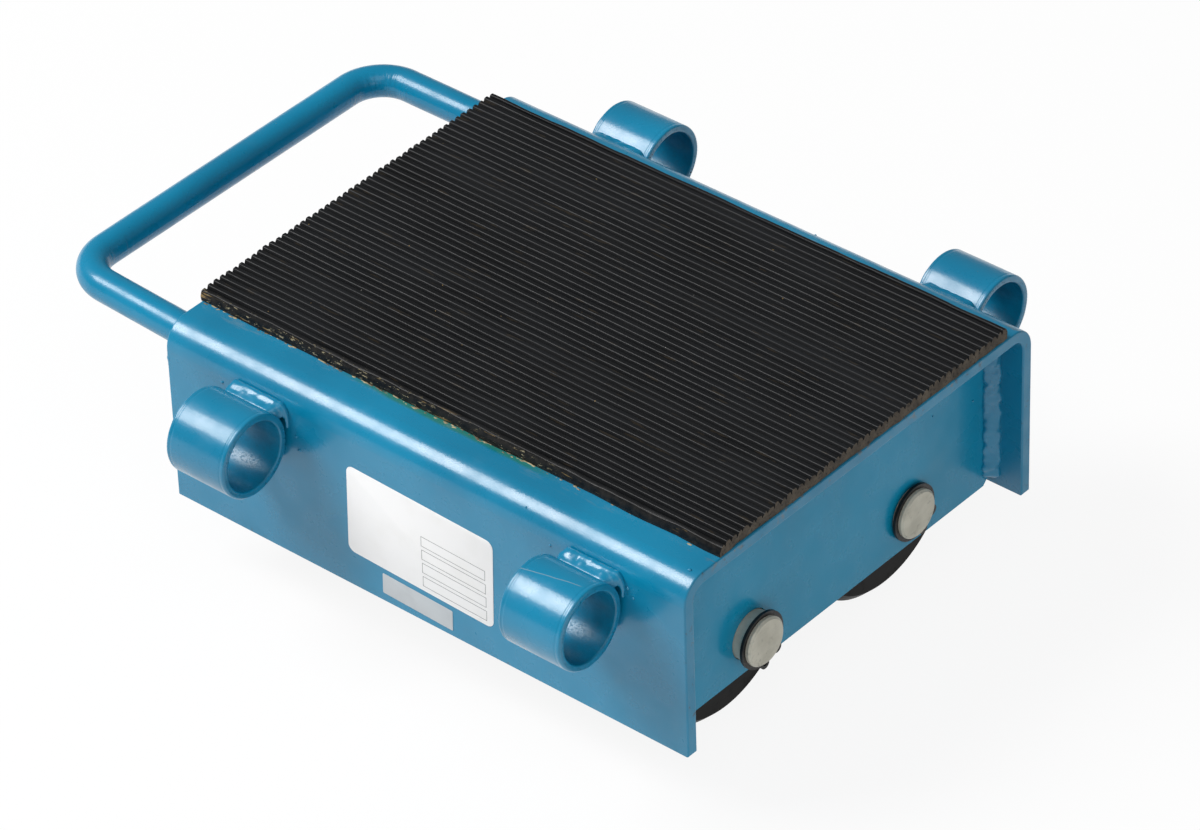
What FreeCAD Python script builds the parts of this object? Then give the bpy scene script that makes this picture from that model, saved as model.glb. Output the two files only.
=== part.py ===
"""Machine skate: a low steel carrier on four rollers, with a ribbed rubber deck and a carrying handle.

A folded channel carries two axles between its end plates. Each axle has two rollers on sealed ball
bearings. Two pairs of short tubes on the flanges take the bars that join this skate to a second one.

Frame: X runs along the channel with the handle at the rear, -X. Y is the rolling direction, Z is up.
The origin is on the floor, below the middle of the overall length. All sizes are in millimetres.
"""
import FreeCAD, Part
import Sketcher
import math
import os

DIMENSIONS = {
    # rollers
    "roller_diameter": 85,
    "roller_width": 90,
    "roller_edge_chamfer": 3,
    "roller_row_gap": 8,
    "roller_flange_gap": 6,
    "roller_deck_gap": 15,
    "roller_side_play": 0.5,
    # folded channel
    "plate_thickness": 5,
    "bend_inside_radius": 5.5,
    "edge_rounding": 0.7,
    # plates inside the channel
    "end_plate_thickness": 8,
    "end_plate_inset": 15,
    "centre_plate_thickness": 8,
    "bend_clearance": 1,
    "plate_bottom_clip": 4,
    # axles
    "axle_diameter": 20,
    "axle_above_flange": 15.5,
    "axle_hole_clearance": 0.3,
    "axle_projection": 6.1,
    "axle_shift": 1.7,
    "axle_end_chamfer": 0.8,
    # circlips
    "circlip_setback": 2,
    "circlip_thickness": 1.2,
    "circlip_groove_depth": 0.5,
    "circlip_band": 2.2,
    "circlip_gap": 4,
    "circlip_lug_diameter": 4.6,
    "circlip_eye_diameter": 2,
    # sealed ball bearings
    "bearing_outer_diameter": 47,
    "bearing_width": 14,
    "bearing_fit": 0.05,
    "bearing_shoulder": 3.5,
    "seal_thickness": 0.8,
    "seal_recess": 0.6,
    "seal_lip_gap": 0.3,
    # spacers on the axle
    "spacer_fit": 0.25,
    "distance_tube_wall": 3.5,
    "washer_thickness": 3.5,
    "washer_rim": 3.5,
    # tube sockets
    "socket_outer_diameter": 34,
    "socket_wall": 3,
    "socket_length": 28.5,
    "socket_front_margin": 28.3,
    "socket_rear_margin": 32.2,
    "socket_below_deck": 21.5,
    "socket_root_gap": 1.2,
    "socket_rim_chamfer": 0.7,
    # handle
    "handle_bar_diameter": 13,
    "handle_reach": 69.5,
    "handle_bend_radius": 17,
    "handle_deck_gap": 0.1,
    "handle_root_gap": 1.5,
    "handle_toe_in": 3.8,
    # rubber mat
    "mat_thickness": 5,
    "mat_side_margin": 17,
    "mat_offset": 3,
    "mat_front_margin": 0.2,
    "mat_rear_overhang": 0.5,
    "rib_pitch": 3.4,
    "groove_width": 1.5,
    "groove_floor_width": 0.5,
    "groove_depth": 1.9,
    # weld beads
    "weld_leg": 5,
    "weld_crown_radius": 5.5,
    "weld_gap": 0.05,
    "socket_weld_length": 23,
}
# A bead in the vee between a tube and a flat wall fills this part of the tube's radius.
WELD_ROOT_SHARE = 0.2
WELD_REACH_SHARE = 0.8
# The walls of a bearing's two rings are these parts of the room between the axle and the bearing seat.
INNER_RING_SHARE = 0.326
OUTER_RING_SHARE = 0.304
# Each circlip's gap points down and to the left, with a lug on each side of it.
CIRCLIP_TURN = {"right": -65, "left": -45}
CIRCLIP_LUG_ANGLE = 19
SIDES = {"right": -1, "left": 1}
ENDS = {"front": 1, "rear": -1}
SHEET_COLUMN = "B"

doc = FreeCAD.newDocument("machine_skate")
sheet = doc.addObject("Spreadsheet::Sheet", "dims")
nodes = []


class Size:
    """A length with its value and the sheet expression that it is worked out from."""

    def __init__(self, text, value):
        self.text = text
        self.value = value

    def join(self, sign, other, value):
        return Size(f"({self.text} {sign} {other.text})", value)

    def __add__(self, other):
        other = size(other)
        return self.join("+", other, self.value + other.value)

    def __sub__(self, other):
        other = size(other)
        return self.join("-", other, self.value - other.value)

    def __mul__(self, other):
        other = size(other)
        return self.join("*", other, self.value * other.value)

    def __truediv__(self, other):
        other = size(other)
        return self.join("/", other, self.value / other.value)

    def __radd__(self, other):
        return size(other) + self

    def __rsub__(self, other):
        return size(other) - self

    def __rmul__(self, other):
        return size(other) * self

    def __neg__(self):
        return Size(f"(0 - {self.text})", -self.value)

    def root(self):
        return Size(f"sqrt({self.text})", math.sqrt(self.value))


def size(amount):
    """Gives a plain number the form of a Size."""
    if isinstance(amount, Size):
        return amount
    return Size(f"({float(amount)})", float(amount))


def fill_sheet():
    """Writes the driving dimensions into the sheet and returns them as sizes by name."""
    for row, (name, value) in enumerate(DIMENSIONS.items(), start=1):
        cell = f"{SHEET_COLUMN}{row}"
        sheet.set(f"A{row}", name)
        sheet.set(cell, str(value))
        sheet.setAlias(cell, name)
    doc.recompute()
    return {name: Size(f"dims.{name}", float(sheet.get(name))) for name in DIMENSIONS}


d = fill_sheet()

# Sizes that follow from the driving ones
roller_radius = d["roller_diameter"] / 2
axle_radius = d["axle_diameter"] / 2
axle_height = roller_radius
axle_offset = (d["roller_diameter"] + d["roller_row_gap"]) / 2
washer_room = d["washer_thickness"] + d["roller_side_play"]
bay_length = d["roller_width"] + 2 * washer_room
end_plate_face = d["centre_plate_thickness"] / 2 + bay_length + d["end_plate_thickness"]
deck_length = 2 * (end_plate_face + d["end_plate_inset"])
inside_half_width = axle_offset + roller_radius + d["roller_flange_gap"]
deck_half_width = inside_half_width + d["plate_thickness"]
flange_bottom = axle_height - d["axle_above_flange"]
deck_underside = d["roller_diameter"] + d["roller_deck_gap"]
deck_top = deck_underside + d["plate_thickness"]
bend_outside_radius = d["bend_inside_radius"] + d["plate_thickness"]
deck_centre = d["handle_reach"] / 2
bearing_radius = d["bearing_outer_diameter"] / 2
socket_radius = d["socket_outer_diameter"] / 2
socket_offset = deck_half_width + d["socket_root_gap"] + socket_radius
socket_height = deck_top - d["socket_below_deck"]
socket_starts = {
    "front": deck_centre + deck_length / 2 - d["socket_front_margin"] - d["socket_length"],
    "rear": deck_centre - deck_length / 2 + d["socket_rear_margin"],
}
handle_radius = d["handle_bar_diameter"] / 2
handle_offset = inside_half_width - d["handle_root_gap"] - handle_radius
handle_height = deck_underside - d["handle_deck_gap"] - handle_radius


def register(obj, label):
    """Keeps an object as a sub-part under its own label."""
    obj.Label = label
    nodes.append(obj)
    return obj


def place(obj, x, y, z):
    """Binds an object's place to the sheet."""
    for axis, amount in zip("xyz", (x, y, z)):
        obj.setExpression(f"Placement.Base.{axis}", size(amount).text)


def new_body(name):
    return doc.addObject("PartDesign::Body", name)


def new_sketch(body, name, plane):
    """Adds a sketch on one of the body's own origin planes."""
    sketch = body.newObject("Sketcher::SketchObject", name)
    support = [item for item in body.Origin.OriginFeatures if item.Role == plane]
    sketch.AttachmentSupport = [(support[0], "")]
    sketch.MapMode = "FlatFace"
    return sketch


def pin(sketch, kind, axis_id, geometry, end, amount):
    """Fixes one coordinate of a point by a dimension that is bound to the sheet."""
    amount = size(amount)
    if amount.value == 0:
        sketch.addConstraint(Sketcher.Constraint("PointOnObject", geometry, end, axis_id))
        return
    if amount.value > 0:
        constraint = Sketcher.Constraint(kind, -1, 1, geometry, end, amount.value)
    else:
        amount = -amount
        constraint = Sketcher.Constraint(kind, geometry, end, -1, 1, amount.value)
    index = sketch.addConstraint(constraint)
    sketch.setExpression(f"Constraints[{index}]", amount.text)


def pin_point(sketch, geometry, end, corner):
    pin(sketch, "DistanceX", -2, geometry, end, corner[0])
    pin(sketch, "DistanceY", -1, geometry, end, corner[1])


def bind_radius(sketch, geometry, radius):
    radius = size(radius)
    index = sketch.addConstraint(Sketcher.Constraint("Radius", geometry, radius.value))
    sketch.setExpression(f"Constraints[{index}]", radius.text)


def arc_between(start, end, radius, left):
    """An arc of less than half a circle, with its centre on the left of the way from start to end."""
    chord = end - start
    side = FreeCAD.Vector(-chord.y, chord.x, 0).normalize()
    if not left:
        side = -side
    depth = math.sqrt(radius ** 2 - (chord.Length / 2) ** 2)
    centre = (start + end) / 2 + side * depth
    first, last = (start, end) if left else (end, start)
    angles = [math.atan2(point.y - centre.y, point.x - centre.x) for point in (first, last)]
    circle = Part.Circle(centre, FreeCAD.Vector(0, 0, 1), radius)
    return Part.ArcOfCircle(circle, angles[0], angles[1])


def draw_outline(sketch, corners, arcs=None, closed=True):
    """Draws a path through the corners. arcs gives the radius of the round stretches by the number of
    the corner that they start from: above zero they bulge outwards, below zero inwards."""
    arcs = arcs or {}
    points = [FreeCAD.Vector(size(x).value, size(y).value, 0) for x, y in corners]
    following = points[1:] + points[:1]
    turn = sum(a.x * b.y - a.y * b.x for a, b in zip(points, following))
    count = len(points) if closed else len(points) - 1
    ends = []
    for index in range(count):
        start, end = points[index], following[index]
        if index in arcs:
            radius = size(arcs[index])
            left = (radius.value > 0) == (turn > 0)
            geometry = sketch.addGeometry(arc_between(start, end, abs(radius.value), left))
            ends.append((geometry, 1, 2) if left else (geometry, 2, 1))
            bind_radius(sketch, geometry, radius if radius.value > 0 else -radius)
        else:
            geometry = sketch.addGeometry(Part.LineSegment(start, end))
            ends.append((geometry, 1, 2))
    for index, (geometry, first, last) in enumerate(ends):
        pin_point(sketch, geometry, first, corners[index])
        if index + 1 < count or closed:
            other, other_first, _ = ends[(index + 1) % count]
            sketch.addConstraint(Sketcher.Constraint("Coincident", geometry, last, other, other_first))
        else:
            pin_point(sketch, geometry, last, corners[index + 1])


def draw_circle(sketch, x, y, radius):
    centre = FreeCAD.Vector(size(x).value, size(y).value, 0)
    circle = Part.Circle(centre, FreeCAD.Vector(0, 0, 1), size(radius).value)
    geometry = sketch.addGeometry(circle)
    pin_point(sketch, geometry, 3, (x, y))
    bind_radius(sketch, geometry, radius)


def pad(body, sketch, length):
    """Extrudes a sketch along its normal."""
    feature = body.newObject("PartDesign::Pad", "Pad")
    feature.Profile = sketch
    feature.setExpression("Length", size(length).text)
    return feature


def revolve(body, sketch):
    """Turns a sketch all the way round the X axis of its own body."""
    feature = body.newObject("PartDesign::Revolution", "Revolution")
    feature.Profile = sketch
    feature.ReferenceAxis = (sketch, ["H_Axis"])
    feature.Angle = 360
    return feature


def pick_edges(base, wanted):
    """Names the edges of a feature that the wanted function picks."""
    doc.recompute()
    return [f"Edge{i}" for i, edge in enumerate(base.Shape.Edges, start=1) if wanted(edge)]


def round_edges(body, base, radius, wanted):
    names = pick_edges(base, wanted)
    feature = body.newObject("PartDesign::Fillet", "Fillet")
    feature.Base = (base, names)
    feature.setExpression("Radius", size(radius).text)
    return feature


def chamfer_edges(body, base, leg, wanted):
    names = pick_edges(base, wanted)
    feature = body.newObject("PartDesign::Chamfer", "Chamfer")
    feature.Base = (base, names)
    feature.setExpression("Size", size(leg).text)
    return feature


def group(label, pieces):
    """Joins separate pieces into one sub-part of several solids."""
    compound = doc.addObject("Part::Compound", label)
    compound.Links = pieces
    return register(compound, label)


def ring(name, outer_radius, inner_radius, length):
    """A plain ring or tube along X."""
    body = new_body(name)
    sketch = new_sketch(body, "section", "YZ_Plane")
    draw_circle(sketch, 0, 0, outer_radius)
    draw_circle(sketch, 0, 0, inner_radius)
    pad(body, sketch, length)
    return body


def edge_runs_along_x(edge):
    return edge.BoundBox.XLength > 1 and edge.BoundBox.YLength < 1e-6 and edge.BoundBox.ZLength < 1e-6


def edge_lies_across(edge):
    """True for an edge in a plane square to X."""
    return edge.BoundBox.XLength < 1e-6


def make_deck_channel():
    """The folded plate: a deck and two flanges, with round bends and softened cut edges."""
    body = new_body("deck_channel")
    sketch = new_sketch(body, "profile", "YZ_Plane")
    corners = [
        (-deck_half_width, flange_bottom),
        (-inside_half_width, flange_bottom),
        (-inside_half_width, deck_underside),
        (inside_half_width, deck_underside),
        (inside_half_width, flange_bottom),
        (deck_half_width, flange_bottom),
        (deck_half_width, deck_top),
        (-deck_half_width, deck_top),
    ]
    draw_outline(sketch, corners)
    folded = pad(body, sketch, deck_length)

    def at_height(height):
        return lambda edge: edge_runs_along_x(edge) and abs(edge.CenterOfMass.z - height.value) < 1e-3

    folded = round_edges(body, folded, bend_outside_radius, at_height(deck_top))
    folded = round_edges(body, folded, d["bend_inside_radius"], at_height(deck_underside))
    round_edges(body, folded, d["edge_rounding"], edge_lies_across)
    place(body, deck_centre - deck_length / 2, 0, 0)
    register(body, "deck_channel")


def make_plate(label, thickness, x):
    """A plate across the channel, clipped at the corners, with a hole for each axle."""
    body = new_body(label)
    sketch = new_sketch(body, "outline", "YZ_Plane")
    top_clip = d["bend_inside_radius"] + d["bend_clearance"]
    bottom_clip = d["plate_bottom_clip"]
    right_half = [
        (-(inside_half_width - bottom_clip), flange_bottom),
        (-inside_half_width, flange_bottom + bottom_clip),
        (-inside_half_width, deck_underside - top_clip),
        (-(inside_half_width - top_clip), deck_underside),
    ]
    left_half = [(-y, z) for y, z in reversed(right_half)]
    draw_outline(sketch, right_half + left_half)
    for sign in SIDES.values():
        draw_circle(sketch, sign * axle_offset, axle_height, axle_radius + d["axle_hole_clearance"])
    pad(body, sketch, thickness)
    place(body, x, 0, 0)
    register(body, label)


def make_plates():
    make_plate("centre_plate", d["centre_plate_thickness"], deck_centre - d["centre_plate_thickness"] / 2)
    thickness = d["end_plate_thickness"]
    make_plate("end_plate_front", thickness, deck_centre + end_plate_face - thickness)
    make_plate("end_plate_rear", thickness, deck_centre - end_plate_face)


def make_socket(end, side):
    """A short tube on the flange for a connecting bar."""
    body = ring(f"socket_{end}_{side}", socket_radius, socket_radius - d["socket_wall"], d["socket_length"])
    chamfer_edges(body, body.Tip, d["socket_rim_chamfer"], edge_lies_across)
    place(body, socket_starts[end], SIDES[side] * socket_offset, socket_height)
    register(body, f"socket_{end}_{side}")


def make_carry_handle():
    """A round bar bent to a U, its legs in the corners of the channel, ending on the rear end plate.
    The right leg leans in towards the bar, so its bend is a little sharper than the left one."""
    body = new_body("carry_handle")
    leg_end = deck_centre - end_plate_face
    bar_line = deck_centre - deck_length / 2 - d["handle_reach"] + handle_radius
    leg_run = leg_end - bar_line

    def leg_points(side, lean):
        """The end of a leg, and the two ends of the arc that is tangent to the leg and the bar."""
        slant = (leg_run * leg_run + lean * lean).root()
        tangent = d["handle_bend_radius"] * (slant - lean) / leg_run
        corner = handle_offset - lean
        return [
            (leg_end, side * handle_offset),
            (bar_line + tangent * leg_run / slant, side * (corner + tangent * lean / slant)),
            (bar_line, side * (corner - tangent)),
        ]

    right_half = leg_points(SIDES["right"], d["handle_toe_in"])
    left_half = leg_points(SIDES["left"], size(0))
    path = new_sketch(body, "centre_line", "XY_Plane")
    bend = d["handle_bend_radius"]
    draw_outline(path, right_half + left_half[::-1], arcs={1: bend, 3: bend}, closed=False)
    section = new_sketch(body, "section", "YZ_Plane")
    section.setExpression("AttachmentOffset.Base.z", leg_end.text)
    draw_circle(section, -handle_offset, 0, handle_radius)
    doc.recompute()
    pipe = body.newObject("PartDesign::AdditivePipe", "Pipe")
    pipe.Profile = section
    pipe.Spine = (path, [])
    place(body, 0, 0, handle_height)
    register(body, "carry_handle")


def make_rubber_mat():
    """A sheet with ribs along X: one groove is cut and repeated across the sheet."""
    body = new_body("rubber_mat")
    half_width = deck_half_width - d["mat_side_margin"]
    mat_top = deck_top + d["mat_thickness"]
    base = new_sketch(body, "section", "YZ_Plane")
    corners = [(-half_width, deck_top), (half_width, deck_top), (half_width, mat_top), (-half_width, mat_top)]
    draw_outline(base, corners)
    length = deck_length - d["mat_front_margin"] + d["mat_rear_overhang"]
    blank = pad(body, base, length)
    rib_count = round(2 * half_width.value / d["rib_pitch"].value)
    first_groove = -half_width + d["rib_pitch"]
    groove_floor = mat_top - d["groove_depth"]
    groove = new_sketch(body, "groove", "YZ_Plane")
    corners = [
        (first_groove - d["groove_floor_width"] / 2, groove_floor),
        (first_groove + d["groove_floor_width"] / 2, groove_floor),
        (first_groove + d["groove_width"] / 2, mat_top),
        (first_groove - d["groove_width"] / 2, mat_top),
    ]
    draw_outline(groove, corners)
    doc.recompute()
    pocket = body.newObject("PartDesign::Pocket", "Groove")
    pocket.Profile = groove
    pocket.Type = "ThroughAll"
    pocket.Reversed = True
    doc.recompute()
    if pocket.Shape.Volume >= blank.Shape.Volume:
        raise RuntimeError("the groove of the mat cuts nothing")
    pattern = body.newObject("PartDesign::LinearPattern", "Ribs")
    pattern.Originals = [pocket]
    pattern.Direction = (groove, ["H_Axis"])
    pattern.setExpression("Length", (d["rib_pitch"] * (rib_count - 2)).text)
    pattern.Occurrences = rib_count - 1
    body.Tip = pattern
    place(body, deck_centre - deck_length / 2 - d["mat_rear_overhang"], d["mat_offset"], 0)
    register(body, "rubber_mat")


def make_axle(side):
    """A round bar with chamfered ends and a groove for a circlip near each end."""
    body = new_body(f"axle_{side}")
    half_length = end_plate_face + d["axle_projection"]
    chamfer = d["axle_end_chamfer"]
    groove_outer = half_length - d["circlip_setback"]
    groove_inner = groove_outer - d["circlip_thickness"]
    groove_radius = axle_radius - d["circlip_groove_depth"]
    front_half = [
        (groove_inner, axle_radius),
        (groove_inner, groove_radius),
        (groove_outer, groove_radius),
        (groove_outer, axle_radius),
        (half_length - chamfer, axle_radius),
        (half_length, axle_radius - chamfer),
        (half_length, 0),
    ]
    rear_half = [(-x, radius) for x, radius in reversed(front_half)]
    sketch = new_sketch(body, "profile", "XY_Plane")
    draw_outline(sketch, front_half + rear_half)
    revolve(body, sketch)
    place(body, deck_centre - SIDES[side] * d["axle_shift"], SIDES[side] * axle_offset, axle_height)
    register(body, f"axle_{side}")


def cylinder(name, radius, height, x=0, y=0):
    item = doc.addObject("Part::Cylinder", name)
    item.setExpression("Radius", size(radius).text)
    item.setExpression("Height", size(height).text)
    place(item, x, y, 0)
    return item


def make_circlip(end, side):
    """An outside snap ring with two lugs, each with an eye, beside its gap."""
    thickness = d["circlip_thickness"]
    groove_radius = axle_radius - d["circlip_groove_depth"]
    band_radius = groove_radius + d["circlip_band"]
    bound = doc.addObject("Part::MultiFuse", "circlip_outside")
    taken = doc.addObject("Part::MultiFuse", "circlip_inside")
    outside = [cylinder("band", band_radius, thickness)]
    inside = [cylinder("bore", groove_radius, thickness)]
    for sign in (-1, 1):
        angle = math.radians(sign * CIRCLIP_LUG_ANGLE)
        lug = [band_radius * math.cos(angle), band_radius * math.sin(angle)]
        outside.append(cylinder("lug", d["circlip_lug_diameter"] / 2, thickness, *lug))
        inside.append(cylinder("eye", d["circlip_eye_diameter"] / 2, thickness, *lug))
    slot = doc.addObject("Part::Box", "gap")
    slot.setExpression("Length", (2 * band_radius).text)
    slot.setExpression("Width", d["circlip_gap"].text)
    slot.setExpression("Height", thickness.text)
    place(slot, 0, -d["circlip_gap"] / 2, 0)
    bound.Shapes = outside
    taken.Shapes = inside + [slot]
    clip = doc.addObject("Part::Cut", f"circlip_{end}_{side}")
    clip.Base = bound
    clip.Tool = taken
    lies_along_x = FreeCAD.Rotation(FreeCAD.Vector(0, 1, 0), FreeCAD.Vector(0, 0, 1), FreeCAD.Vector(1, 0, 0))
    turned = FreeCAD.Rotation(FreeCAD.Vector(1, 0, 0), CIRCLIP_TURN[side])
    clip.Placement = FreeCAD.Placement(FreeCAD.Vector(), turned.multiply(lies_along_x))
    outer_face = end_plate_face + d["axle_projection"] - d["circlip_setback"]
    inner_face = outer_face - thickness if end == "front" else -outer_face
    axle_centre = deck_centre - SIDES[side] * d["axle_shift"]
    place(clip, axle_centre + inner_face, SIDES[side] * axle_offset, axle_height)
    register(clip, f"circlip_{end}_{side}")


def make_roller(label):
    """A solid roller with chamfered edges, a bore and a bearing seat in each end."""
    body = new_body(label)
    half = d["roller_width"] / 2
    edge = d["roller_edge_chamfer"]
    seat = half - d["bearing_width"]
    bore = bearing_radius - d["bearing_shoulder"]
    front_half = [
        (half - edge, roller_radius),
        (half, roller_radius - edge),
        (half, bearing_radius),
        (seat, bearing_radius),
        (seat, bore),
    ]
    rear_half = [(-x, radius) for x, radius in reversed(front_half)]
    sketch = new_sketch(body, "profile", "XY_Plane")
    draw_outline(sketch, front_half + rear_half)
    revolve(body, sketch)
    return body


def make_bearings(place_name, centre, y):
    """The two bearings of one roller, each sealed on its outer face, as groups of rings and seals."""
    outer_rings = []
    inner_rings = []
    seals = []
    width = d["bearing_width"]
    room = bearing_radius - axle_radius
    inner_land = axle_radius + room * INNER_RING_SHARE
    outer_land = bearing_radius - room * OUTER_RING_SHARE
    for sign in ENDS.values():
        outer_ring = ring("outer_ring", bearing_radius, outer_land, width)
        inner_ring = ring("inner_ring", inner_land, axle_radius + d["bearing_fit"], width)
        seal = ring("seal", outer_land, inner_land + d["seal_lip_gap"], d["seal_thickness"])
        outer_face = centre + sign * d["roller_width"] / 2
        start = outer_face - width if sign > 0 else outer_face
        seal_face = outer_face - sign * d["seal_recess"]
        seal_start = seal_face - d["seal_thickness"] if sign > 0 else seal_face
        place(outer_ring, start, y, axle_height)
        place(inner_ring, start, y, axle_height)
        place(seal, seal_start, y, axle_height)
        outer_rings.append(outer_ring)
        inner_rings.append(inner_ring)
        seals.append(seal)
    group(f"bearing_outer_rings_{place_name}", outer_rings)
    group(f"bearing_inner_rings_{place_name}", inner_rings)
    group(f"bearing_seals_{place_name}", seals)


def make_spacers(place_name, centre, y):
    """The tube between a roller's two inner rings and the washers outside them."""
    bore = axle_radius + d["spacer_fit"]
    length = d["roller_width"] - 2 * d["bearing_width"]
    tube = ring(f"distance_tube_{place_name}", bore + d["distance_tube_wall"], bore, length)
    place(tube, centre - length / 2, y, axle_height)
    register(tube, f"distance_tube_{place_name}")
    washers = []
    for sign in ENDS.values():
        washer = ring("washer", bore + d["washer_rim"], bore, d["washer_thickness"])
        face = centre + sign * d["roller_width"] / 2
        start = face if sign > 0 else face - d["washer_thickness"]
        place(washer, start, y, axle_height)
        washers.append(washer)
    group(f"side_washers_{place_name}", washers)


def make_roller_set(end, side):
    """One roller with its bearings, distance tube and washers."""
    place_name = f"{end}_{side}"
    centre = deck_centre + ENDS[end] * (d["centre_plate_thickness"] / 2 + bay_length / 2)
    y = SIDES[side] * axle_offset
    roller = make_roller(f"roller_{place_name}")
    place(roller, centre, y, axle_height)
    register(roller, f"roller_{place_name}")
    make_bearings(place_name, centre, y)
    make_spacers(place_name, centre, y)


def vee_bead(name, wall, centre_y, centre_z, radius, upward, start, length):
    """A weld bead along X in the vee between a flat wall, square to Y, and a round bar or tube."""
    body = new_body(name)
    toward_wall = 1 if wall.value > centre_y.value else -1
    skin = radius + d["weld_gap"]
    root = radius * WELD_ROOT_SHARE
    reach = radius * WELD_REACH_SHARE

    def on_bar(rise):
        return centre_y + toward_wall * (skin * skin - rise * rise).root(), centre_z + upward * rise

    corners = [
        (wall, centre_z + upward * root),
        (wall, centre_z + upward * reach),
        on_bar(reach),
        on_bar(root),
    ]
    sketch = new_sketch(body, "section", "YZ_Plane")
    draw_outline(sketch, corners, arcs={1: d["weld_crown_radius"], 2: -skin})
    pad(body, sketch, length)
    place(body, start, 0, 0)
    return body


def make_socket_welds(side):
    """Beads above and below each tube of one flange, up to the tube's front end."""
    sign = SIDES[side]
    beads = []
    for tube_start in socket_starts.values():
        start = tube_start + d["socket_length"] - d["socket_weld_length"]
        for upward in (1, -1):
            bead = vee_bead("socket_bead", sign * deck_half_width, sign * socket_offset, socket_height,
                            socket_radius, upward, start, d["socket_weld_length"])
            beads.append(bead)
    group(f"socket_welds_{side}", beads)


def make_handle_welds():
    """A bead under each leg of the handle, along the flange."""
    beads = []
    start = deck_centre - deck_length / 2
    length = d["end_plate_inset"] - d["weld_leg"] - d["bend_clearance"]
    for sign in SIDES.values():
        bead = vee_bead("handle_bead", sign * inside_half_width, sign * handle_offset, handle_height,
                        handle_radius, -1, start, length)
        beads.append(bead)
    group("handle_welds", beads)


def corner_bead(x, end, side, top):
    """An upright bead in the corner between a plate's face and a flange."""
    body = new_body("corner_bead")
    leg = d["weld_leg"]
    sketch = new_sketch(body, "section", "XY_Plane")
    corners = [(0, 0), (end * leg, 0), (0, -side * leg)]
    draw_outline(sketch, corners, arcs={1: d["weld_crown_radius"]})
    bottom = flange_bottom + d["plate_bottom_clip"]
    pad(body, sketch, top - bottom)
    place(body, x, side * inside_half_width, bottom)
    return body


def make_plate_welds():
    """Upright beads that hold the plates to the flanges. At the rear they stop below the handle."""
    clear_top = deck_underside - d["bend_inside_radius"] - d["bend_clearance"]
    tops = {"front": clear_top, "rear": handle_height - handle_radius - d["bend_clearance"]}
    end_beads = []
    centre_beads = []
    for end, end_sign in ENDS.items():
        for side_sign in SIDES.values():
            end_beads.append(corner_bead(deck_centre + end_sign * end_plate_face, end_sign, side_sign, tops[end]))
            face = deck_centre + end_sign * d["centre_plate_thickness"] / 2
            centre_beads.append(corner_bead(face, end_sign, side_sign, clear_top))
    group("end_plate_welds", end_beads)
    group("centre_plate_welds", centre_beads)


def make_all():
    make_deck_channel()
    make_plates()
    make_carry_handle()
    make_rubber_mat()
    for side in SIDES:
        make_axle(side)
        for end in ENDS:
            make_socket(end, side)
            make_circlip(end, side)
            make_roller_set(end, side)
        make_socket_welds(side)
    make_handle_welds()
    make_plate_welds()
    doc.recompute()


def check_all():
    """Stops if any object failed or any sub-part is empty or broken."""
    for obj in doc.Objects:
        if "Invalid" in obj.State or "Error" in obj.State:
            raise RuntimeError(f"{obj.Label} failed: {obj.State}")
    for node in nodes:
        if node.Shape.isNull() or not node.Shape.isValid():
            raise RuntimeError(f"{node.Label} has no valid shape")


def write_all():
    os.makedirs("parts", exist_ok=True)
    for node in nodes:
        node.Shape.exportStep(os.path.join("parts", f"{node.Label}.step"))
        print(f"{node.Label}: {len(node.Shape.Solids)} solids, {node.Shape.Volume / 1000:.2f} cm3")


make_all()
check_all()
write_all()
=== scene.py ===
# %% [markdown]
# # A machine skate, dressed around its CAD frame
# The frame brings every solid of the skate in metres: the folded channel, its plates, the handle, the
# tubes, the axles and the rollers. This lesson gives them paint, rubber, nylon and steel, and models
# again the pieces whose charm is in small irregular shapes: weld beads, tube rims, the cut rubber mat
# and the two blank stickers. Everything stays where the CAD has it.

# %% Load the frame
import bpy
import bmesh
import math
import random
from mathutils import Matrix, Vector


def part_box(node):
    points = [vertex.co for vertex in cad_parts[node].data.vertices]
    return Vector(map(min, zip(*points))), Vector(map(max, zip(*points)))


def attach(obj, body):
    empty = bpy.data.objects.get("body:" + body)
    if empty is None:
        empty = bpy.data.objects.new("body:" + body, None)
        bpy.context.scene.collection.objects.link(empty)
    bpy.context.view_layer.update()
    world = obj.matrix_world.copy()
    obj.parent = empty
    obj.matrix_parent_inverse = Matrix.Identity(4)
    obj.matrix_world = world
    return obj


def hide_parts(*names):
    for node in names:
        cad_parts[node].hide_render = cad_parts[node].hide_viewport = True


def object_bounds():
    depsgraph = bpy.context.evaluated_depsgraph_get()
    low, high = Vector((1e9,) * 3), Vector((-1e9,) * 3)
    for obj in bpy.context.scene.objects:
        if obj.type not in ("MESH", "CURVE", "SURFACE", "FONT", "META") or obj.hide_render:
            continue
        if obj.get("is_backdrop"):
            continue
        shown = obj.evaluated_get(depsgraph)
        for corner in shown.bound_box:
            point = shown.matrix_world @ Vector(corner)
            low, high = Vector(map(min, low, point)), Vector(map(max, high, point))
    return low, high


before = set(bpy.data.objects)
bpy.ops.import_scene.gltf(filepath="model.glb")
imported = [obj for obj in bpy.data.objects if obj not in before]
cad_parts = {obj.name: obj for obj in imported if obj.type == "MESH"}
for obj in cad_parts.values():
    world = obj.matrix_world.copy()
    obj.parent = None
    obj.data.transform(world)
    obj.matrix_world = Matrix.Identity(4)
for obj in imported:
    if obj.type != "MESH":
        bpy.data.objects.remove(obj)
cad_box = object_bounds()
MM = 0.001
SIDES = {"right": -1, "left": 1}
ENDS = ("front", "rear")
channel_low, channel_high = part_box("deck_channel")
channel_middle = (channel_low.x + channel_high.x) / 2
corners = [round(value, 4) for corner in cad_box for value in corner]
print("frame loaded:", len(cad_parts), "nodes, box", corners)

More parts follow.
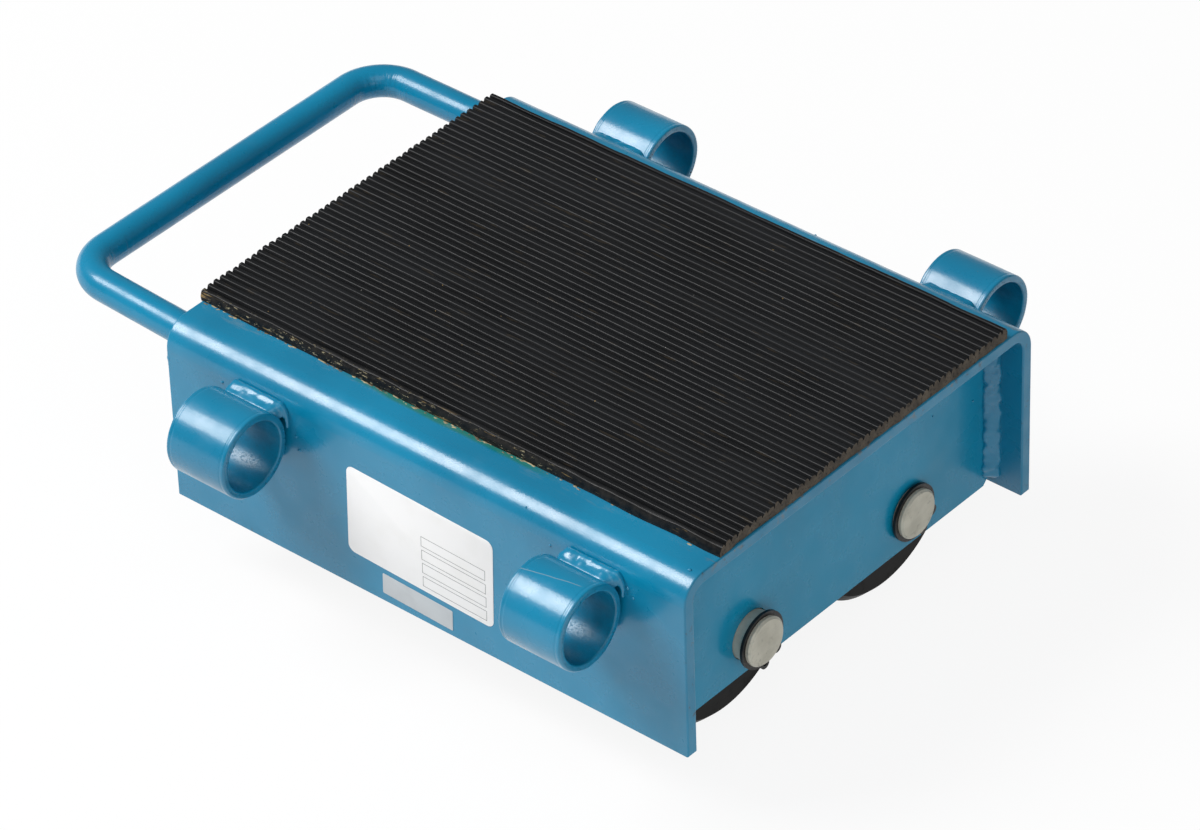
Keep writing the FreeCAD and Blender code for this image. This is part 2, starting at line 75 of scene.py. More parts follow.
# %% [markdown]
# ## The camera
# The view was solved from the photograph: straight edges of the channel, the ellipses of the tubes and
# the axle ends give one camera. It stands in front of the right front corner, about 37 degrees up, far
# off with a long lens, so parallel edges stay almost parallel. A camera can be turned by angles, but
# three axes in a matrix say the same thing with no doubt about the order of the turns.

# %% Camera
IMAGE_WIDTH = 1200
FOCAL_PIXELS = 6458
SENSOR_MM = 36
AZIMUTH = math.radians(41.59)
ELEVATION = math.radians(36.84)
ROLL = math.radians(-2.02)
CAMERA_DISTANCE = 2.427
AIM_RIGHT = -0.0011
AIM_UP = 0.0287

back = Vector((math.sin(AZIMUTH) * math.cos(ELEVATION), -math.cos(AZIMUTH) * math.cos(ELEVATION),
               math.sin(ELEVATION)))
level = Vector((math.cos(AZIMUTH), math.sin(AZIMUTH), 0))
upright = back.cross(level)
camera_right = math.cos(ROLL) * level + math.sin(ROLL) * upright
camera_up = math.cos(ROLL) * upright - math.sin(ROLL) * level
aim = Vector((channel_middle, 0, channel_low.z))
stand = aim + AIM_RIGHT * camera_right + AIM_UP * camera_up + CAMERA_DISTANCE * back

bpy.ops.object.camera_add()
camera = bpy.context.active_object
camera.name = "photo_camera"
camera.data.sensor_width = SENSOR_MM
camera.data.lens = FOCAL_PIXELS / IMAGE_WIDTH * SENSOR_MM
camera.data.clip_start = 0.05
camera.data.clip_end = 50
camera.matrix_world = Matrix((
    (camera_right.x, camera_up.x, back.x, stand.x),
    (camera_right.y, camera_up.y, back.y, stand.y),
    (camera_right.z, camera_up.z, back.z, stand.z),
    (0, 0, 0, 1),
))
bpy.context.scene.camera = camera
print("camera at", [round(v, 3) for v in stand], "lens", round(camera.data.lens, 1))

# %% [markdown]
# ## Shader sums in Python
# A finish is a small calculation: noise, thresholds and mixes. Wiring each Math node by hand hides the
# idea, so a socket is wrapped in a class whose operators add the nodes. One method makes every other
# kind of node from its settings and the values of its sockets.

# %% Socket sums
def colour(red, green, blue):
    """A colour written as it looks on screen, 0 to 255, as the linear values that a shader takes."""
    parts = [value / 255 for value in (red, green, blue)]
    linear = [part / 12.92 if part <= 0.04045 else ((part + 0.055) / 1.055) ** 2.4 for part in parts]
    return (*linear, 1)


class Signal:
    """A shader socket that takes part in Python sums."""

    def __init__(self, finish, socket):
        self.finish = finish
        self.socket = socket

    def maths(self, operation, *terms):
        return self.finish.node("ShaderNodeMath", {"operation": operation}, dict(enumerate(terms)))

    def __add__(self, other):
        return self.maths("ADD", self, other)

    def __radd__(self, other):
        return self.maths("ADD", other, self)

    def __sub__(self, other):
        return self.maths("SUBTRACT", self, other)

    def __rsub__(self, other):
        return self.maths("SUBTRACT", other, self)

    def __mul__(self, other):
        return self.maths("MULTIPLY", self, other)

    def __rmul__(self, other):
        return self.maths("MULTIPLY", other, self)

    def __abs__(self):
        return self.maths("ABSOLUTE", self)

    def root(self):
        return self.maths("SQRT", self)

    def most(self, other):
        return self.maths("MAXIMUM", self, other)

    def output(self, name):
        """Another output of the same node."""
        return Signal(self.finish, self.socket.node.outputs[name])


# %% [markdown]
# A finish is one material. Its patterns are read from Object coordinates, in metres, so a scale of 100
# gives a pattern of about a centimetre, and nothing slides when the piece is moved or exported.

# %% Finishes
class Finish:
    """One material, with the sums that feed its shader."""

    def __init__(self, name, **constants):
        self.material = bpy.data.materials.new(name)
        self.material.use_nodes = True
        self.tree = self.material.node_tree
        self.shader = self.tree.nodes["Principled BSDF"]
        for socket_name, value in constants.items():
            label = socket_name.replace("_", " ").title().replace("Ior", "IOR")
            self.shader.inputs[label].default_value = value
        self.place = self.node("ShaderNodeTexCoord", out="Object")
        self.x = self.node("ShaderNodeSeparateXYZ", inputs={0: self.place}, out="X")
        self.y = self.x.output("Y")
        self.z = self.x.output("Z")

    def node(self, kind, settings=None, inputs=None, out=0):
        made = self.tree.nodes.new(kind)
        for name, value in (settings or {}).items():
            setattr(made, name, value)
        for key, value in (inputs or {}).items():
            self.fill(made.inputs[key], value)
        return Signal(self, made.outputs[out])

    def fill(self, socket, value):
        if isinstance(value, Signal):
            self.tree.links.new(value.socket, socket)
        else:
            socket.default_value = value

    def feed(self, name, value):
        self.fill(self.shader.inputs[name], value)

    def noise(self, scale, detail=2, stretch=(1, 1, 1), roughness=0.5):
        """Soft noise of about 1 / scale metres, drawn out along an axis by a small stretch value."""
        where = self.node("ShaderNodeMapping", {"vector_type": "POINT"},
                          {"Vector": self.place, "Scale": stretch})
        return self.node("ShaderNodeTexNoise", None,
                         {"Vector": where, "Scale": scale, "Detail": detail, "Roughness": roughness})

    def cells(self, scale):
        """Distance to scattered points, about 1 / scale metres apart."""
        return self.node("ShaderNodeTexVoronoi", None, {"Vector": self.place, "Scale": scale},
                         out="Distance")

    def band(self, value, low, high):
        """A soft step from 0 at low to 1 at high."""
        return self.node("ShaderNodeMapRange", {"interpolation_type": "SMOOTHSTEP"},
                         {"Value": value, "From Min": low, "From Max": high})

    def mix(self, factor, first, second):
        """The first colour, changing to the second as the factor goes from 0 to 1."""
        return self.node("ShaderNodeMix", {"data_type": "RGBA"}, {0: factor, 6: first, 7: second}, out=2)

    def dots(self, scale, radius, share):
        """Round specks: a share of the scattered points, each of the given radius in metres."""
        cell = self.cells(scale)
        lot = self.node("ShaderNodeSeparateColor", inputs={0: cell.output("Color")})
        chosen = self.band(lot, 1 - share, 1 - share + 0.02)
        inside = 1 - self.band(cell, radius * scale * 0.7, radius * scale)
        return inside * chosen

    def bump(self, height, depth, strength):
        """Feeds the shader's normal with a relief of the given depth in metres."""
        relief = self.node("ShaderNodeBump", None,
                           {"Height": height, "Distance": depth, "Strength": strength})
        self.feed("Normal", relief)


def dress(nodes, finish):
    """Gives CAD nodes a finish by their material slots."""
    for name in nodes:
        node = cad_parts[name]
        if not node.material_slots:
            node.data.materials.append(finish.material)
        for slot in node.material_slots:
            slot.material = finish.material


# %% [markdown]
# ## Blue enamel
# The skate is sprayed with a gloss enamel over rough steel. Up close the film has a faint orange-peel
# ripple, thicker and thinner drifts, dust nibs and pinholes, and rubbed grey where a sling or a shoe
# passed. A flat blue would look like plastic, so the colour drifts between two blues, the roughness
# follows a second noise, and small dots lift or pit the surface.

# %% Enamel
PAINT_DEEP = colour(0, 116, 153)
PAINT_BRIGHT = colour(3, 129, 168)
# the next two blues are the enamel painted lighter for the plates: painted light for the shade they stand in
PLATE_DEEP_LIT = colour(8, 131, 168)
PLATE_BRIGHT_LIT = colour(12, 142, 181)
PAINT_DUST = colour(116, 140, 150)
PAINT_BORE = colour(0, 124, 162)
PAINT_BORE_DEEP = colour(0, 98, 130)
PRIMER = colour(58, 52, 47)
GLUE_FILM = colour(22, 112, 92)
RUBBER_DUST = colour(96, 88, 77)
mat_low, mat_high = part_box("rubber_mat")


def enamel(name, shine=0.5, marks=None, relief=None, dull=None, tones=(PAINT_DEEP, PAINT_BRIGHT)):
    """The blue film. marks gives pairs of a mask and the shade that shows there, relief gives a height
    to add, dull gives a mask where the film is too thin to shine."""
    finish = Finish(name, specular_ior_level=shine, coat_roughness=0.12)
    drift = finish.noise(14, 3)
    mottle = finish.noise(95, 3)
    peel = finish.noise(700, 1)
    fine = finish.noise(2600, 1)
    tone = finish.mix(finish.band(drift, 0.34, 0.66), *tones)
    tone = finish.mix(finish.band(mottle, 0.55, 0.85) * 0.04, tone, PAINT_DUST)
    nibs = finish.dots(190, 0.00026, 0.14)
    tone = finish.mix(nibs * 0.55, tone, PAINT_DUST)
    pits = finish.dots(170, 0.00022, 0.03)
    tone = finish.mix(pits * 0.5, tone, PRIMER)
    # paler and rougher in patches towards the bottom
    low_pale_patches = finish.band(finish.noise(38, 4), 0.60, 0.80) * finish.band(finish.z, 0.075, 0.03)
    tone = finish.mix(low_pale_patches * 0.22, tone, PAINT_DUST)
    rough = 0.25 + 0.14 * finish.band(mottle, 0.3, 0.8) + 0.25 * low_pale_patches
    height = 0.55 * peel + 0.12 * fine + 0.5 * nibs - 0.7 * pits + 0.4 * mottle
    for mask, shade in (marks(finish) if marks else ()):
        tone = finish.mix(mask, tone, shade)
        height = height - mask * 0.6
    if relief:
        height = height + relief(finish)
    gloss = shine * (0.6 - 0.4 * finish.band(mottle, 0.4, 0.9))
    if dull:
        thin = dull(finish)
        rough = rough + 0.4 * thin
        gloss = gloss * (1 - thin)
    finish.feed("Base Color", tone)
    finish.feed("Roughness", rough)
    finish.feed("Coat Weight", gloss)
    finish.bump(height, 0.00012, 0.55)
    return finish


def overspray():
    """Thin enamel blown into the tubes: deeper in tone, with dry dark specks."""
    finish = Finish("blue_paint_bore", specular_ior_level=0.5)
    cloud = finish.noise(60, 3)
    speck = finish.noise(1100, 3)
    dry = finish.band(speck, 0.50, 0.66)
    shade = finish.mix(finish.band(cloud, 0.35, 0.65), PAINT_BORE, PAINT_BORE_DEEP)
    finish.feed("Base Color", finish.mix(dry * 0.4, shade, PAINT_BORE_DEEP))
    finish.feed("Roughness", 0.30 + 0.2 * dry)
    finish.bump(speck, 0.00012, 0.35)
    return finish


# %% [markdown]
# The channel's film is thin on its two sawn ends and chipped along its edges. Beside the mat the glue
# has left a green film, grey scuffs and brown smears. Each is a mask made of places and noise, with the
# shade that shows through it.

# %% Marks on the channel
# distances in metres along X from the channel's middle
CUT_END = (0.1246, 0.1249)
CHIPPED_END = (0.1229, 0.1252)
# where the green film fades in and out along X, and the height from which the deck counts as flat
FILM_STARTS = (-0.03, 0.005)
FILM_ENDS = (0.088, 0.066)
DECK_FLAT = (0.100, 0.104)
# where the brown smears of the front corner fade in along X
SMEARED_CORNER = (0.120, 0.142)


def cut_ends(finish):
    """The two sawn ends of the channel, where the film is thin."""
    return 0.4 * finish.band(abs(finish.x - channel_middle), *CUT_END)


def channel_marks(finish):
    """Chips along the cut edges of the folded plate, and what the mat's glue left beside it: a green
    film, grey scuffs and brown smears."""
    low = finish.band(finish.z, channel_low.z + 0.0022, channel_low.z)
    ends = finish.band(abs(finish.x - channel_middle), *CHIPPED_END)
    chips = finish.band(finish.noise(260, 4, roughness=0.7), 0.60, 0.66)
    wander = finish.noise(70, 3, stretch=(0.3, 1, 1)) * 0.004
    flat = finish.band(finish.z, *DECK_FLAT)
    right_half = finish.band(finish.y, 0.01, 0)
    beside = finish.band(finish.y - wander, mat_low.y - 0.0048, mat_low.y - 0.0032) * right_half
    film = flat * beside * finish.band(finish.x, *FILM_STARTS) * finish.band(finish.x, *FILM_ENDS)
    streaks = finish.band(finish.noise(240, 4, stretch=(0.2, 1, 1), roughness=0.65), 0.58, 0.66)
    smear = flat * streaks * finish.band(finish.y, mat_low.y - 0.0075, mat_low.y - 0.001)
    corner = smear * finish.band(finish.x, *SMEARED_CORNER)
    return [(low.most(ends) * chips * 0.6, PRIMER), (film * 0.85, GLUE_FILM),
            (smear * 0.30, PAINT_DUST), (corner * 0.55, RUBBER_DUST)]


# %% [markdown]
# A bar that is bent cold is pressed together on the inside of the bend, and the paint shows fine creases
# there. They fan out from the bend's centre, so their noise is read by angle and distance from it.

# %% Creases in the handle's bends
# x and y of the two bends' centres and the radius of their inner side, in metres
BEND_CENTRES = ((-0.1362, -0.0664), (-0.1362, 0.070))
BEND_INSIDE = 0.0105


def bend_wrinkles(finish):
    """Fine creases on the inside of the handle's two bends, where the bar was pressed together."""
    creases = 0
    for x, y in BEND_CENTRES:
        off_x = finish.x - x
        off_y = finish.y - y
        away = (off_x * off_x + off_y * off_y).root()
        turn = off_y.maths("ARCTAN2", off_y, off_x)
        fan = finish.node("ShaderNodeCombineXYZ", inputs={0: turn * 9, 1: away * 110, 2: finish.z * 60})
        folds = finish.node("ShaderNodeTexNoise", None, {"Vector": fan, "Scale": 1, "Detail": 3})
        inner_side = finish.band(away, BEND_INSIDE + 0.005, BEND_INSIDE)
        creases = finish.band(folds, 0.45, 0.62) * inner_side + creases
    return creases * 1.6


# %% [markdown]
# The plates stand inside the channel and took a thinner, duller coat, so they get the same enamel with less
# shine, in a lighter blue that is painted light for the shade they stand in. The bores of the tubes get only
# what blew in.

# %% Paint the channel, plates and handle
paint_channel = enamel("blue_paint_channel", marks=channel_marks, dull=cut_ends)
# the plates take the lighter blues, painted light for the shade they stand in
paint_plates_lit = enamel("blue_paint_plates_lit", shine=0.2, tones=(PLATE_DEEP_LIT, PLATE_BRIGHT_LIT))
paint_bore = overspray()
paint_handle = enamel("blue_paint_handle", shine=0.38, relief=bend_wrinkles)
dress(["deck_channel"], paint_channel)
dress(["end_plate_front", "end_plate_rear", "centre_plate"], paint_plates_lit)
dress(["carry_handle"], paint_handle)
print("enamel on the channel, plates and handle")

# %% [markdown]
# ## Nylon rollers
# Cast nylon turned on a lathe: very fine rings round the tread and the faces, satin black, with grey
# scuffs and brown dust pressed in by the floor. The rings are a stretched noise, because a regular wave
# would read as a thread. On the tread they run round the axis, which is along X here, so a noise that
# changes only along X and with the distance from the axle gives both.

# %% Nylon
NYLON = colour(11, 11, 11)
NYLON_SCUFF = colour(36, 35, 33)
FLOOR_DUST = colour(104, 92, 76)
# distances from the axle, in metres, between which a roller's face turns into its tread
TREAD = (0.0405, 0.0422)


def turned_nylon(name, axis_y, axis_z):
    finish = Finish(name, specular_ior_level=0.08)
    off_y = finish.y - axis_y
    off_z = finish.z - axis_z
    away = (off_y * off_y + off_z * off_z).root()
    turning = finish.node("ShaderNodeCombineXYZ", inputs={0: finish.x * 900, 1: away * 900})
    rings = finish.node("ShaderNodeTexNoise", None, {"Vector": turning, "Scale": 1, "Detail": 2})
    blotch = finish.noise(45, 4)
    scuffs = finish.band(finish.noise(130, 4, roughness=0.65), 0.55, 0.75)
    tread = finish.band(away, *TREAD)
    dust = finish.dots(560, 0.00027, 0.22)
    shade = finish.mix(finish.band(blotch, 0.35, 0.7) * 0.25, NYLON, NYLON_SCUFF)
    shade = finish.mix(scuffs * (0.10 + 0.35 * tread), shade, NYLON_SCUFF)
    shade = finish.mix(dust * 0.7, shade, FLOOR_DUST)
    finish.feed("Base Color", shade)
    finish.feed("Roughness", 0.42 + 0.16 * scuffs + 0.08 * rings)
    finish.bump(rings * 0.6 + scuffs * 0.5 + dust * 0.5, 0.00012, 0.5)
    return finish


# %% Rollers
for side in SIDES:
    low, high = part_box(f"axle_{side}")
    nylon = turned_nylon(f"black_nylon_{side}", (low.y + high.y) / 2, (low.z + high.z) / 2)
    dress([f"roller_{end}_{side}" for end in ENDS], nylon)
print("turned nylon on four rollers")

# %% [markdown]
# ## Axle, circlip and bearing steels
# The axle is a zinc-flashed bar: a dull sawn face with faint marks across it and a few stains. The
# circlips are phosphated spring steel, nearly black. Bearing rings are ground and bright, their seals
# black rubber. Each of these is small in the picture, yet metal with no variation is the first thing
# that gives a model away.

# %% Steels
def bar_steel(name, pale, dark, rough, metallic, marks):
    """Plain steel with blotches, fine marks and darker stains. A small value in marks draws the marks
    out along that axis."""
    finish = Finish(name)
    blotch = finish.noise(120, 4)
    lines = finish.noise(1300, 2, stretch=marks)
    stains = finish.band(finish.noise(260, 4, roughness=0.7), 0.56, 0.72)
    shade = finish.mix(finish.band(blotch, 0.3, 0.7), dark, pale)
    shade = finish.mix(stains * 0.35, shade, PRIMER)
    finish.feed("Base Color", shade)
    finish.feed("Metallic", metallic - 0.35 * stains)
    finish.feed("Roughness", rough + 0.22 * finish.band(lines, 0.3, 0.7) + 0.12 * stains)
    finish.bump(lines * 0.7 + blotch * 0.5, 0.00010, 0.6)
    return finish


axle_steel = bar_steel("zinc_plate", pale=colour(200, 197, 182), dark=colour(180, 177, 162), rough=0.36,
                       metallic=0.15, marks=(1, 0.06, 1))
clip_steel = bar_steel("spring_steel", pale=colour(44, 43, 42), dark=colour(22, 22, 23), rough=0.34,
                       metallic=0.5, marks=(1, 1, 1))
ring_steel = bar_steel("bearing_steel", pale=colour(196, 198, 200), dark=colour(160, 163, 166), rough=0.22,
                       metallic=0.95, marks=(1, 0.2, 0.2))
tube_steel = bar_steel("spacer_steel", pale=colour(150, 150, 148), dark=colour(112, 112, 110), rough=0.38,
                       metallic=0.85, marks=(1, 0.2, 0.2))
dress(["axle_right", "axle_left"], axle_steel)
for end in ENDS:
    for side in SIDES:
        dress([f"circlip_{end}_{side}"], clip_steel)
        dress([f"bearing_outer_rings_{end}_{side}", f"bearing_inner_rings_{end}_{side}"], ring_steel)
        dress([f"distance_tube_{end}_{side}", f"side_washers_{end}_{side}"], tube_steel)
print("steel on the axles, circlips, bearing rings, tubes and washers")

# %% [markdown]
# ## Rubber
# The mat is black rubber that has carried machines: the crests of its ribs are rubbed to grey, dust
# lies in the grooves and on the cut front, and specks of swarf and old glue stick to it. The bearing
# seals take the same rubber without the ribs.

# %% Rubber finishes
RUBBER = colour(8, 9, 11)
RUBBER_RUBBED = colour(34, 37, 41)
GLUE = colour(146, 122, 78)
GLUE_PALE = colour(186, 174, 140)
SPECK_PALE = colour(150, 148, 142)
CUT_SHADE = colour(72, 66, 59)
# the x up to which glue was pressed out along the right edge, in metres
GLUE_END = 0.08


def rubber_mat_finish():
    finish = Finish("black_rubber_mat", specular_ior_level=0.22)
    grain = finish.noise(1500, 3)
    cloud = finish.noise(26, 4)
    patch = finish.band(finish.noise(60, 3, stretch=(0.25, 1, 1)), 0.45, 0.75)
    crest = finish.band(finish.z, mat_high.z - 0.0005, mat_high.z - 0.00005)
    groove = finish.band(finish.z, mat_high.z - 0.0011, mat_high.z - 0.0018)
    shade = finish.mix(finish.band(cloud, 0.3, 0.7) * 0.15, RUBBER, RUBBER_RUBBED)
    shade = finish.mix(crest * (0.08 + 0.25 * patch), shade, RUBBER_RUBBED)
    shade = finish.mix(groove * 0.06 * patch, shade, RUBBER_DUST)
    near = finish.band(finish.y + 0.0020 * cloud, mat_low.y + 0.0032, mat_low.y + 0.0010)
    dusty = near * finish.band(finish.noise(420, 3), 0.35, 0.75) * 0.16
    shade = finish.mix(dusty, shade, RUBBER_DUST)
    threads = finish.band(finish.noise(620, 3, stretch=(0.12, 1, 1)), 0.64, 0.70)
    shade = finish.mix(threads * (near * 0.8 + 0.05), shade, GLUE)
    frays = near * finish.band(finish.noise(1000, 4, stretch=(0.35, 1, 1), roughness=0.7), 0.60, 0.645)
    frays = frays * finish.band(finish.x, GLUE_END + 0.008, GLUE_END - 0.008)
    shade = finish.mix(frays * 0.75, shade, GLUE_PALE)
    swarf = finish.dots(230, 0.00030, 0.10)
    shade = finish.mix(swarf * 0.75, shade, GLUE)
    pale = finish.dots(160, 0.00028, 0.10)
    shade = finish.mix(pale * 0.8, shade, SPECK_PALE)
    finish.feed("Base Color", shade)
    finish.feed("Roughness", 0.38 + 0.14 * patch + 0.3 * dusty)
    finish.bump(grain * 0.5 + swarf + pale + 0.6 * dusty + 1.5 * frays, 0.00014, 0.6)
    return finish


def cut_rubber_finish():
    """The knife-cut front face: matt, grey-brown with the dust of the cut."""
    finish = Finish("cut_rubber", specular_ior_level=0.2)
    grain = finish.noise(900, 4, roughness=0.65)
    blotch = finish.noise(170, 3)
    shade = finish.mix(finish.band(blotch, 0.3, 0.7), RUBBER_DUST, CUT_SHADE)
    shade = finish.mix(finish.band(grain, 0.52, 0.66) * 0.8, shade, RUBBER_RUBBED)
    finish.feed("Base Color", shade)
    finish.feed("Roughness", 0.72 + 0.2 * grain)
    finish.bump(grain, 0.0003, 0.7)
    return finish


def seal_finish():
    finish = Finish("seal_rubber")
    grain = finish.noise(1400, 3)
    film = finish.band(finish.noise(150, 4), 0.45, 0.75)
    finish.feed("Base Color", finish.mix(film * 0.4, RUBBER, RUBBER_RUBBED))
    finish.feed("Roughness", 0.48 + 0.2 * film)
    finish.bump(grain, 0.00008, 0.5)
    return finish


mat_rubber = rubber_mat_finish()
cut_rubber = cut_rubber_finish()
seal_rubber = seal_finish()
dress([f"bearing_seals_{end}_{side}" for end in ENDS for side in SIDES], seal_rubber)
print("rubber for the mat and the seals")

# %% [markdown]
# ## Modelling helpers
# Operators act on what is selected, and the imported nodes start out selected. These helpers clear the
# selection, pick parts of a mesh by where they are, and finish a piece: its place goes into its mesh,
# its faces turn outwards, and it rides on a body of the frame.

# %% Helpers for modelling
def clear_selection():
    if bpy.context.object and bpy.context.object.mode != "OBJECT":
        bpy.ops.object.mode_set(mode="OBJECT")
    bpy.ops.object.select_all(action="DESELECT")


def added(name):
    """Names the primitive that was just added."""
    piece = bpy.context.active_object
    piece.name = name
    piece.data.name = name
    return piece


def only(piece):
    clear_selection()
    piece.select_set(True)
    bpy.context.view_layer.objects.active = piece


def edit(piece):
    only(piece)
    bpy.ops.object.mode_set(mode="EDIT")
    bpy.ops.mesh.select_all(action="SELECT")


def pick(piece, kind, wanted):
    """In edit mode, selects the vertices, edges or faces that the wanted function accepts."""
    bpy.context.tool_settings.mesh_select_mode = (kind == "verts", kind == "edges", kind == "faces")
    mesh = bmesh.from_edit_mesh(piece.data)
    for face in mesh.faces:
        face.select_set(False)
    for edge in mesh.edges:
        edge.select_set(False)
    for vertex in mesh.verts:
        vertex.select_set(False)
    for item in getattr(mesh, kind):
        if wanted(item):
            item.select_set(True)
    mesh.select_flush_mode()
    bmesh.update_edit_mesh(piece.data)


def middle(edge):
    return (edge.verts[0].co + edge.verts[1].co) / 2


def apply_modifier(piece, kind, **settings):
    only(piece)
    modifier = piece.modifiers.new(kind.lower(), kind)
    for name, value in settings.items():
        setattr(modifier, name, value)
    bpy.ops.object.modifier_apply(modifier=modifier.name)


def settle(piece, smooth_angle):
    """Puts the piece's place into its mesh, turns its faces outwards and smooths its soft edges."""
    only(piece)
    bpy.ops.object.transform_apply(location=True, rotation=True, scale=True)
    edit(piece)
    bpy.ops.mesh.normals_make_consistent(inside=False)
    bpy.ops.object.mode_set(mode="OBJECT")
    bpy.ops.object.shade_smooth_by_angle(angle=math.radians(smooth_angle))


def fit_out(piece, finish, body="frame", replaces=()):
    """Gives the piece its finish and ties it to the frame."""
    piece.data.materials.clear()
    piece.data.materials.append(finish.material)
    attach(piece, body)
    if replaces:
        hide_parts(*replaces)
    print(piece.name, len(piece.data.polygons), "faces")


# %% [markdown]
# ## Tube sockets
# Four short lengths of tube take the bars that couple two skates. A cylinder is the start: its end
# faces are inset by the wall, the two inner faces are bridged into a bore, and the rims get a bevel of
# a few segments, because spray paint rounds a sawn edge. The sawn ends are never quite flat, which a
# weak displacement along the tube gives them.

# %% Sockets
SOCKET_SEGMENTS = 72
SOCKET_WALL = 3 * MM
RIM_ROUNDING = 0.9 * MM
RIM_DIP = 1.9 * MM
saw_texture = bpy.data.textures.new("saw_waviness", "CLOUDS")
saw_texture.noise_scale = 0.012


def add_socket(name):
    low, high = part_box(name)
    centre = (low + high) / 2
    radius = (high.z - low.z) / 2
    clear_selection()
    bpy.ops.mesh.primitive_cylinder_add(vertices=SOCKET_SEGMENTS, radius=radius, depth=high.x - low.x,
                                        location=centre, rotation=(0, math.pi / 2, 0))
    tube = added(f"{name}_tube")
    bpy.ops.object.transform_apply(location=True, rotation=True, scale=True)
    edit(tube)
    pick(tube, "faces", lambda face: abs(face.normal.x) > 0.9)
    bpy.ops.mesh.inset(thickness=SOCKET_WALL)
    bpy.ops.mesh.bridge_edge_loops()
    pick(tube, "edges", lambda edge: abs(edge.verts[0].co.x - edge.verts[1].co.x) < 1e-6)
    bpy.ops.mesh.bevel(offset=RIM_ROUNDING, segments=4, affect="EDGES")
    bpy.ops.object.mode_set(mode="OBJECT")
    apply_modifier(tube, "DISPLACE", texture=saw_texture, texture_coords="GLOBAL", direction="X",
                   strength=0.5 * MM, mid_level=0.5)
    settle(tube, 35)
    apply_modifier(tube, "WEIGHTED_NORMAL", keep_sharp=True)
    return tube, centre, radius


sockets = {}
socket_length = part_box("socket_front_right")[1].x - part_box("socket_front_right")[0].x
for end in ENDS:
    for side in SIDES:
        sockets[end, side] = add_socket(f"socket_{end}_{side}")
print(len(sockets), "tubes,", round(socket_length / MM, 1), "mm long")

# %% [markdown]
# The front right tube has one long scratch down to pale undercoat, and all tubes are rubbed below. Behind
# each rim the film dips a little, because wet paint draws back from a sawn edge and stands fat at it.

# %% Paint the sockets
# the scratch: x and y where it starts, its drift in y per x, and where it fades out along X
SCRATCH_X, SCRATCH_Y = 0.1028, -0.1229
SCRATCH_LEAN = 0.204
SCRATCH_FADE = (0.1285, 0.1265)
UNDERCOAT = colour(150, 168, 176)


def socket_marks(finish):
    """The scratch along the top of the front right tube, and rubbed paint below the tubes."""
    _, centre, radius = sockets["front", "right"]
    waver = (finish.noise(160, 2) - 0.5) * 0.0008
    line = finish.y - SCRATCH_Y - (finish.x - SCRATCH_X) * SCRATCH_LEAN + waver
    here = finish.band(finish.x, SCRATCH_X - 0.001, SCRATCH_X + 0.001) * finish.band(finish.x, *SCRATCH_FADE)
    top = finish.band(finish.z, centre.z + radius * 0.8, centre.z + radius * 0.85)
    scratch = (1 - finish.band(abs(line), 0.00008, 0.00026)) * here * top
    rub = finish.band(finish.noise(240, 4, roughness=0.7), 0.64, 0.72)
    low = finish.band(finish.z, centre.z - 0.012, centre.z - 0.0165) * rub
    return [((scratch * 0.6).most(low * 0.5), UNDERCOAT)]


def fat_edge(finish):
    """A shallow dip round each tube, just behind its rim."""
    front, rear = sockets["front", "right"][1].x, sockets["rear", "right"][1].x
    along = abs(abs(finish.x - (front + rear) / 2) - (front - rear) / 2)
    dip = finish.band(abs(along - socket_length / 2 + RIM_DIP), 0.7 * MM, 0.15 * MM)
    return dip * -1.7


paint_socket = enamel("blue_paint_socket", marks=socket_marks, relief=fat_edge)
for (end, side), (tube, centre, radius) in sockets.items():
    fit_out(tube, paint_socket, replaces=[f"socket_{end}_{side}"])
    tube.data.materials.append(paint_bore.material)
    for face in tube.data.polygons:
        if math.hypot(face.center.y - centre.y, face.center.z - centre.z) < radius - 0.8 * SOCKET_WALL:
            face.material_index = 1

# %% [markdown]
# ## Weld beads
# A bead is a row of small puddles that froze one over the other. It could be a displaced tube, but the
# puddles themselves are the better start: overlapping squashed spheres of uneven size are joined, a
# voxel remesh turns them into one skin, and a little smoothing leaves the soft lumps that paint fills.

# %% Bead maker
BEAD_VOXEL = 0.55 * MM
ROUND_PUDDLE = (1.0, 1.0, 1.0)
paint_bead = enamel("blue_paint_bead")


def add_bead(name, stations, seed, smooth=12, voxel=BEAD_VOXEL, unrest=0.06):
    """A bead through stations of (place, radius, (width x, y, z)). unrest is how far the puddles stray
    from their place and size, as a part of the radius."""
    lots = random.Random(seed)
    clear_selection()
    puddles = []
    for place, radius, stretch in stations:
        grown = radius * lots.uniform(1 - unrest, 1 + unrest)
        shaken = [value + lots.uniform(-unrest, unrest) * radius for value in place]
        bpy.ops.mesh.primitive_uv_sphere_add(segments=16, ring_count=8, radius=grown, location=shaken,
                                             scale=stretch)
        puddles.append(bpy.context.active_object)
    clear_selection()
    for puddle in puddles:
        puddle.select_set(True)
    bpy.context.view_layer.objects.active = puddles[0]
    bpy.ops.object.join()
    bead = added(name)
    bpy.ops.object.transform_apply(location=True, rotation=True, scale=True)
    apply_modifier(bead, "REMESH", mode="VOXEL", voxel_size=voxel)
    apply_modifier(bead, "SMOOTH", factor=0.5, iterations=smooth)
    settle(bead, 80)
    return bead


def run_of(start, end, spacing):
    """Evenly spaced points from start to end."""
    start, end = Vector(start), Vector(end)
    count = max(2, round((end - start).length / spacing) + 1)
    return [start.lerp(end, i / (count - 1)) for i in range(count)]


def join_as(name, pieces):
    clear_selection()
    for piece in pieces:
        piece.select_set(True)
    bpy.context.view_layer.objects.active = pieces[0]
    bpy.ops.object.join()
    return added(name)


# %% [markdown]
# Each tube has a bead that fills the vee above it, from a lump where it was begun to the front end, where
# it wraps thinly down round the rim, and a plainer one below. Three rows of puddles give a fillet that
# runs out smoothly on both sides: a large one in the vee, a small one up the flange and a small one over
# the tube.

